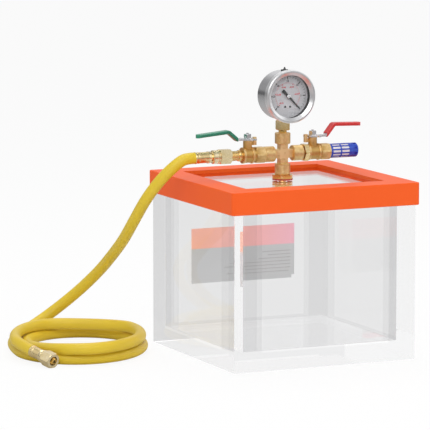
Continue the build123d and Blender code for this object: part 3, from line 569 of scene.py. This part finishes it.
black = dial_scale(units=30, every=5, rim=RING_IN, long_tick=(20.0, 1.1),
                   short_tick=(21.8, 0.32), figures=18.0, figure_size=3.3, wording=str)
for turn in range(RING_STEPS):
    tick(black, SCALE_START + ring_step * (turn + 0.5), RING_IN, RING_OUT, 1.3)
black_scale = piece("black_scale", black, black_paint, "chamber", smooth=False)
print("black marks", len(black_scale.data.polygons))

# %% Red scale, nought to a tenth
def tenths(unit):
    return f"-0.{unit // 5:02d}" if unit else "0"


red = dial_scale(units=50, every=10, rim=16.8, long_tick=(14.6, 0.8),
                 short_tick=(15.4, 0.34), figures=12.0, figure_size=2.9, wording=tenths)
red_scale = piece("red_scale", red, dial_red, "chamber", smooth=False)
print("red marks", len(red_scale.data.polygons))

# %% [markdown]
# Round details are turned on a lathe in real life, so they are made by spinning a profile of
# radius and height about an axis. Screw threads could be a true helix. They are rings with the
# thread's profile, which at this size can't be told from a helix and make a simpler mesh.

# %% Spin a profile about an axis
RIGHT, TOWARDS, UP = Vector((1, 0, 0)), Vector((0, -1, 0)), Vector((0, 0, 1))


def spin(name, profile, centre, axis, material, body, steps=64, angle=30.0):
    bm = bmesh.new()
    rings = []
    for k in range(steps):
        a = 2 * pi * k / steps
        rings.append([bm.verts.new((r * MM * cos(a), r * MM * sin(a), h * MM)) for r, h in profile])
    for k in range(steps):
        here, after = rings[k], rings[(k + 1) % steps]
        for j in range(len(profile) - 1):
            bm.faces.new((here[j], after[j], after[j + 1], here[j + 1]))
        bm.faces.new((here[-1], after[-1], after[0], here[0]))
    bmesh.ops.remove_doubles(bm, verts=bm.verts, dist=0.001 * MM)
    bmesh.ops.rotate(bm, verts=bm.verts, matrix=UP.rotation_difference(axis).to_matrix())
    bmesh.ops.translate(bm, verts=bm.verts, vec=centre)
    return piece(name, bm, material, body, angle=angle)


def thread_profile(low, high, root, crest, pitch, bore):
    points = [(bore, low), (root, low)]
    at = low
    while at + pitch <= high + 1e-6:
        points += [(root, at + 0.12 * pitch), (crest, at + 0.45 * pitch)]
        points += [(crest, at + 0.60 * pitch), (root, at + 0.93 * pitch)]
        at += pitch
    return points + [(root, high), (bore, high)]


# %% [markdown]
# The pointer is pressed from thin sheet, with a wide tail that balances it, and its hub has a
# bright cap. Both ride on the pointer's body, so they turn with it over the dial.

# %% Bright cap on the pointer's hub
pointer_low, pointer_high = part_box("gauge_pointer")
cap_profile = [(0.0, 0.0), (2.45, 0.0), (2.45, 0.5), (2.1, 0.85), (0.9, 0.95), (0.7, 0.6),
               (0.0, 0.6)]
hub_cap = spin("hub_cap", cap_profile, (0.0, pointer_low[1], GAUGE.z), TOWARDS, gauge_chrome,
               "gauge_pointer")
print("hub cap faces", len(hub_cap.data.polygons))

# %% The pointer's blade
BLADE_OUT, BLADE_THICK = 1.5 * MM, 0.6 * MM
# half of the blade, from its tip to its tail: distance along and half width
TIP, TAIL = (21.5, 0.0), (-10.5, 0.0)
BLADE_SIDE = [(20.5, 0.55), (3.0, 1.15), (-3.0, 1.2), (-4.5, 1.7), (-10.0, 1.9)]


def make_pointer():
    other_side = [(along, -across) for along, across in reversed(BLADE_SIDE)]
    turn = radians(SCALE_START)
    outline = []
    for along, across in [TIP] + BLADE_SIDE + [TAIL] + other_side:
        x = along * cos(turn) - across * sin(turn)
        z = along * sin(turn) + across * cos(turn)
        outline.append((x * MM, GAUGE.z + z * MM))
    front = pointer_high[1] - BLADE_OUT
    return flat_plate("pointer_blade", outline, front, front + BLADE_THICK, black_paint,
                      "gauge_pointer")


pointer_blade = make_pointer()
print("pointer corners", len(pointer_blade.data.vertices) // 2)

# %% [markdown]
# Bits of thread show where brass screws into brass: between the flare nut and the left valve,
# under the lid's nut, and beside the lock ring. A turned collar closes the flare thread. The
# hose is held by sleeves crimped over its ends, with grooves from the crimping tool, and each
# cast valve body has a raised ring.

# %% Threads that show on the brass
cross_low, cross_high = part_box("cross_fitting")
PIPE = Vector((0.0, 0.0, (cross_low[2] + cross_high[2]) / 2))
FLARE = {"root": 5.5, "crest": 6.05, "pitch": 1.27, "bore": 5.3}
PIPE_THREAD = {"root": 6.5, "crest": 6.9, "pitch": 1.0, "bore": 6.3}
FLARE_REACH = 15.4
nut_back, nut_mouth = (corner[0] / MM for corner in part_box("manifold_flare_nut"))
shoulder = nut_mouth + FLARE_REACH
thread_start, thread_end = nut_mouth + 0.3, shoulder - 5.4
stub_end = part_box("bulkhead_fitting")[0][2] / MM
lid_nut_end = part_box("bulkhead_nut")[0][2] / MM
cross_end = cross_high[0] / MM
ring_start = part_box("right_lock_ring")[0][0] / MM


def turned(name, profile, material, centre=PIPE, axis=RIGHT):
    return spin(name, profile, centre, axis, material, "chamber")


turned("flare_thread", thread_profile(thread_start, thread_end, **FLARE), pale_brass)
turned("flare_collar", [(5.3, shoulder - 5.2), (6.6, shoulder - 5.0), (7.0, shoulder - 4.2),
                        (7.0, shoulder - 2.6), (6.2, shoulder - 2.2), (6.2, shoulder - 0.1),
                        (5.3, shoulder - 0.1)], turned_brass)
turned("stub_thread", thread_profile(stub_end, lid_nut_end, **PIPE_THREAD), turned_brass,
       (0, 0, 0), UP)
turned("gap_thread", thread_profile(cross_end, ring_start, **PIPE_THREAD), turned_brass)
print("flare thread", round(thread_end - thread_start, 2), "mm long")

# %% Crimped sleeves, nut collar and the rings on the valve bodies
sleeve = [(4.3, 0.0), (6.9, 0.0), (7.25, 0.5), (7.25, 1.6), (6.75, 2.0), (6.75, 4.4),
          (7.0, 4.8), (7.0, 5.6), (6.75, 6.0), (6.75, 16.4), (7.25, 16.9), (7.25, 19.8),
          (6.8, 20.6), (4.3, 20.6)]
HOSE_TOP = PIPE + Vector((-117.6 * MM, 0, 0))
HOSE_TIP = Vector((-312.3, 39.3, 15.52)) * MM
TIP_WAY = Vector((0.299, -0.937, -0.1805)).normalized()
manifold_sleeve = turned("manifold_sleeve", sleeve, pale_brass, HOSE_TOP)
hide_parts("manifold_ferrule")
free_sleeve = turned("free_sleeve", sleeve, pale_brass, HOSE_TIP, TIP_WAY)
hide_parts("free_ferrule")
turned("nut_collar", [(4.6, nut_back - 6.0), (7.6, nut_back - 6.0), (8.3, nut_back - 5.3),
                      (8.3, nut_back + 0.2), (4.6, nut_back + 0.2)], pale_brass)
valve_ring = [(8.0, -1.6), (9.9, -1.2), (10.3, -0.6), (10.3, 0.6), (9.9, 1.2), (8.0, 1.6)]
for side, place in (("left", -42.0), ("right", 47.5)):
    middle = PIPE + Vector((place * MM, 0, 0))
    turned(f"{side}_body_ring", valve_ring, cast_brass, middle)
print("sleeve", sleeve[-1][1], "mm long")

# %% [markdown]
# The silencer's white element is soft, and stands into the windows of its blue cage. Bulging
# the element itself would need a boolean with the cage. Each window gets a pad of the same
# sintered plastic instead, just short of flush.

# %% White pads in the silencer's windows
PAD_SIZE = (10.2 * MM, 2.2 * MM, 2.6 * MM)
PAD_OUT = 7.1 * MM
PAD_ROWS = (5.2 * MM, 17.1 * MM)
PADS_ROUND = 12


def make_pads():
    felt_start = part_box("silencer_felt")[0][0]
    bm = bmesh.new()
    for along in PAD_ROWS:
        for k in range(PADS_ROUND):
            made = block(bm, PAD_SIZE)
            turn = Euler((2 * pi * k / PADS_ROUND, 0, 0)).to_matrix()
            bmesh.ops.translate(bm, vec=(felt_start + along, PAD_OUT, 0), verts=made)
            bmesh.ops.rotate(bm, verts=made, matrix=turn)
            bmesh.ops.translate(bm, vec=PIPE, verts=made)
    return piece("silencer_pads", bm, white_felt, "chamber", smooth=False)


silencer_pads = make_pads()
print("pads", len(silencer_pads.data.polygons) // 6)

# %% [markdown]
# The hose is one length of rubber tube from the manifold to the free coupling. It sweeps out
# to the left and behind, lies in two stacked turns on the bench and ends at the front of them.
# It could be a physics rope, but a chosen route is steadier. It is one smooth NURBS line with
# a round bevel. The coil's points come from a loop over stations round an oval: the first turn
# lies on the bench and the second climbs onto it.

# %% The route of the hose
HOSE_DROP = [
    tuple(HOSE_TOP), (-0.1245, 0.0, 0.2429), (-0.1345, 0.0002, 0.2412), (-0.1550, 0.0055, 0.2230),
    (-0.1705, 0.0205, 0.1965), (-0.1752, 0.0491, 0.1650), (-0.1740, 0.0841, 0.1370),
    (-0.1710, 0.1239, 0.1140), (-0.1726, 0.1664, 0.0860), (-0.1920, 0.1961, 0.0550),
    (-0.2235, 0.2115, 0.0270), (-0.2559, 0.2031, 0.0120), (-0.2809, 0.1772, 0.0072),
    (-0.2980, 0.1443, 0.0070), (-0.3073, 0.1068, 0.0070),
]
HOSE_END = [
    (-0.2279, 0.1849, 0.0210), (-0.2560, 0.1765, 0.0210), (-0.2806, 0.1570, 0.0210),
    (-0.2990, 0.1300, 0.0210), (-0.3118, 0.1000, 0.0212), (-0.3205, 0.0680, 0.0213),
    (-0.3123, 0.0393, 0.01552),
]
ACROSS = Vector((0.9103, -0.4140, 0.0))
ALONG = Vector((0.4140, 0.9103, 0.0))
COIL_CENTRE = -249.5
COIL_FROM, COIL_TO, COIL_STEP = 215, 790, 24
# angle round the coil, half width, half length, shift along, height of the hose's centre
COIL_STATIONS = [
    (195, 80, 98, -4, 7.0), (470, 80, 96, -4, 7.0), (515, 68, 88, -6, 8.0), (560, 61, 84, -8, 11.5),
    (590, 62, 87, -10, 15.5), (615, 68, 93, -13, 20.0), (650, 77, 97, -16, 21.0),
    (720, 78, 97, -14, 21.0), (785, 78, 94, -8, 21.0),
]


def coil_point(angle):
    for low, high in zip(COIL_STATIONS, COIL_STATIONS[1:]):
        if angle <= high[0]:
            break
    share = (angle - low[0]) / (high[0] - low[0])
    wide, long, shift, height = (low[k] + share * (high[k] - low[k]) for k in range(1, 5))
    across = COIL_CENTRE + wide * cos(radians(angle))
    along = shift + long * sin(radians(angle))
    spot = (ACROSS * across + ALONG * along) * MM
    return (spot.x, spot.y, height * MM)


coil = [coil_point(angle) for angle in range(COIL_FROM, COIL_TO, COIL_STEP)]
route = HOSE_DROP + coil + HOSE_END
print("control points", len(route), "per turn", 360 / COIL_STEP)

# %% The hose itself
HOSE_RADIUS = 0.007


def smooth_tube(name, points, radius, material):
    curve = bpy.data.curves.new(name, "CURVE")
    curve.dimensions = "3D"
    spline = curve.splines.new("NURBS")
    spline.points.add(len(points) - 1)
    for point, spot in zip(spline.points, points):
        point.co = (*spot, 1.0)
    spline.order_u = 3
    spline.use_endpoint_u = True
    curve.resolution_u = 10
    curve.bevel_depth = radius
    curve.bevel_resolution = 10
    curve.use_fill_caps = True
    curve.materials.append(material)
    return show(name, curve)


hose = smooth_tube("yellow_hose", route, HOSE_RADIUS, hose_rubber)
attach(hose, "chamber")
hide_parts("hose_drop", "hose_coil", "hose_end")
print("hose", 2 * HOSE_RADIUS / MM, "mm thick")

def line_length(curve_object):
    bare = curve_object.copy()
    bare.data = curve_object.data.copy()
    bare.data.bevel_depth = 0.0
    mesh = bpy.data.meshes.new_from_object(bare)
    total = sum((mesh.vertices[e.vertices[0]].co - mesh.vertices[e.vertices[1]].co).length
                for e in mesh.edges)
    bpy.data.objects.remove(bare)
    return total


hose_length = line_length(hose)
print("hose length", round(hose_length, 3))

# %% [markdown]
# A plain pale floor and a white surround keep the eye on the object. The background could be
# made white with more light, but that would bleach the object. Instead, rays from the camera,
# rays through clear plastic and rays mirrored more than once simply see white. Metal sees a
# darker band near the horizon at its first reflection, which draws its shape.

# %% Which rays see the plain white surround
WHITE = (1.0, 1.0, 1.0, 1.0)


def sees_white(tree, path):
    seen = path.outputs
    straight = maths(tree, "MAXIMUM", seen["Is Camera Ray"], seen["Is Transmission Ray"])
    mirrored = maths(tree, "GREATER_THAN", seen["Glossy Depth"], TWICE_MIRRORED)
    return maths(tree, "MAXIMUM", straight, mirrored)


# %% Floor
FLOOR_GREY = (0.86, 0.86, 0.86, 1.0)
# Painted reflection: metal mirrors the floor as this darker grey, not as the floor's own pale grey.
FLOOR_IN_METAL = (0.50, 0.50, 0.50, 1.0)
FLOOR_REACH, FLOOR_DROP, FLOOR_WHITE_SHARE = 6.0, 0.0003, 0.90


def floor_material():
    material, tree, shader = new_material("pale_floor")
    path = add(tree, "ShaderNodeLightPath")
    # Painted reflection: the floor turns darker grey only where metal mirrors it.
    seen = mix_colours(tree, path.outputs["Is Glossy Ray"], FLOOR_GREY, FLOOR_IN_METAL)
    feed(tree, shader.inputs["Base Color"], seen)
    feed(tree, shader.inputs["Roughness"], 0.9)
    glow = add(tree, "ShaderNodeEmission")
    tint = mix_colours(tree, path.outputs["Is Transmission Ray"], WHITE, FLOOR_GREY)
    feed(tree, glow.inputs["Color"], tint)
    share = maths(tree, "MULTIPLY", sees_white(tree, path), FLOOR_WHITE_SHARE)
    mixed = mix_shaders(tree, share, shader.outputs["BSDF"], glow.outputs["Emission"])
    feed(tree, tree.nodes["Material Output"].inputs["Surface"], mixed)
    return material


def make_floor():
    bm = bmesh.new()
    bmesh.ops.create_grid(bm, x_segments=2, y_segments=2, size=FLOOR_REACH)
    bmesh.ops.translate(bm, verts=bm.verts, vec=(0, 0, -FLOOR_DROP))
    mesh = bpy.data.meshes.new("floor")
    bm.to_mesh(mesh)
    bm.free()
    mesh.materials.append(floor_material())
    floor = show("floor", mesh)
    return floor


print("stage", make_floor().name)

# %% White surround, with a darker band that only first reflections see
SURROUND_STRENGTH = 0.62
BELOW, ABOVE = (0.55, 0.55, 0.56, 1), (0.95, 0.95, 0.96, 1)
# height from straight down (0) to straight up (1), and the grey there
BAND = ((0.40, 0.70), (0.47, 0.22), (0.53, 0.28), (0.565, 0.80), (0.74, 0.92))
STRIPS_ROUND, STRIP_DIM = 5.0, 0.45


def height_band(tree, height):
    ramp = add(tree, "ShaderNodeValToRGB")
    stops = ramp.color_ramp.elements
    stops[0].position, stops[0].color = 0.0, BELOW
    stops[1].position, stops[1].color = 1.0, ABOVE
    for place, grey in BAND:
        stops.new(place).color = (grey, grey, grey * 1.01, 1)
    feed(tree, ramp.inputs["Fac"], stretch(tree, height, old=(-1.0, 1.0)))
    return ramp.outputs["Color"]


def upright_strips(tree, axes):
    around = maths(tree, "ARCTAN2", axes["X"], axes["Y"])
    wave = maths(tree, "SINE", maths(tree, "MULTIPLY", around, STRIPS_ROUND))
    return stretch(tree, wave, old=(-1.0, 1.0), new=(STRIP_DIM, 1.0))


def backdrop(tree, colour, strength):
    light = add(tree, "ShaderNodeBackground")
    feed(tree, light.inputs["Color"], colour)
    feed(tree, light.inputs["Strength"], strength)
    return light.outputs[0]


def make_surround():
    world = bpy.data.worlds.new("surround")
    bpy.context.scene.world = world
    world.use_nodes = True
    tree = world.node_tree
    axes = position(tree, "Generated")
    even = backdrop(tree, WHITE, SURROUND_STRENGTH)
    mirror = backdrop(tree, height_band(tree, axes["Z"]), upright_strips(tree, axes))
    path = add(tree, "ShaderNodeLightPath")
    lit = mix_shaders(tree, path.outputs["Is Glossy Ray"], even, mirror)
    seen = mix_shaders(tree, sees_white(tree, path), lit, backdrop(tree, WHITE, 1.0))
    feed(tree, tree.nodes["World Output"].inputs["Surface"], seen)
    return world


print("world", make_surround().name)

# %% [markdown]
# Three large soft lights shape the object: a key from the front left, a weak fill from the
# right and one from above and behind. They are large, so that shadows stay soft and brass
# shows broad highlights.

# %% Three soft lights
def soft_light(name, place, aim, size, power):
    data = bpy.data.lights.new(name, "AREA")
    data.shape = "RECTANGLE"
    data.size, data.size_y = size
    data.energy = power
    lamp = show(name, data)
    lamp.location = place
    lamp.rotation_euler = (Vector(aim) - Vector(place)).to_track_quat("-Z", "Y").to_euler()
    return lamp


soft_light("key", (-0.9, -1.5, 1.5), (0, 0, 0.15), (1.7, 1.2), 17)
soft_light("fill", (1.6, -0.9, 0.9), (0, 0, 0.15), (2.0, 1.6), 7)
soft_light("top", (0.1, 0.5, 1.9), (0, 0, 0.1), (1.4, 1.0), 12)

# %% [markdown]
# The camera stands a little to the left and a little above, with a long lens, so that the
# square box keeps nearly parallel edges. A short lens close by would spread them.

# %% Camera
AIM = Vector((-0.06515, 0.05526, 0.16402))
TURN, RISE, DISTANCE = radians(-24.458), radians(7.836), 4.123
back = Vector((sin(TURN) * cos(RISE), -cos(TURN) * cos(RISE), sin(RISE)))
eye = bpy.data.cameras.new("camera")
eye.lens = 281.4
eye.sensor_width = 36.0
eye.clip_end = 40.0
camera = show("camera", eye)
camera.location = AIM + back * DISTANCE
camera.rotation_euler = (-back).to_track_quat("-Z", "Y").to_euler()
bpy.context.scene.camera = camera
bpy.context.scene.view_settings.view_transform = "Standard"
print("camera at", camera.location)
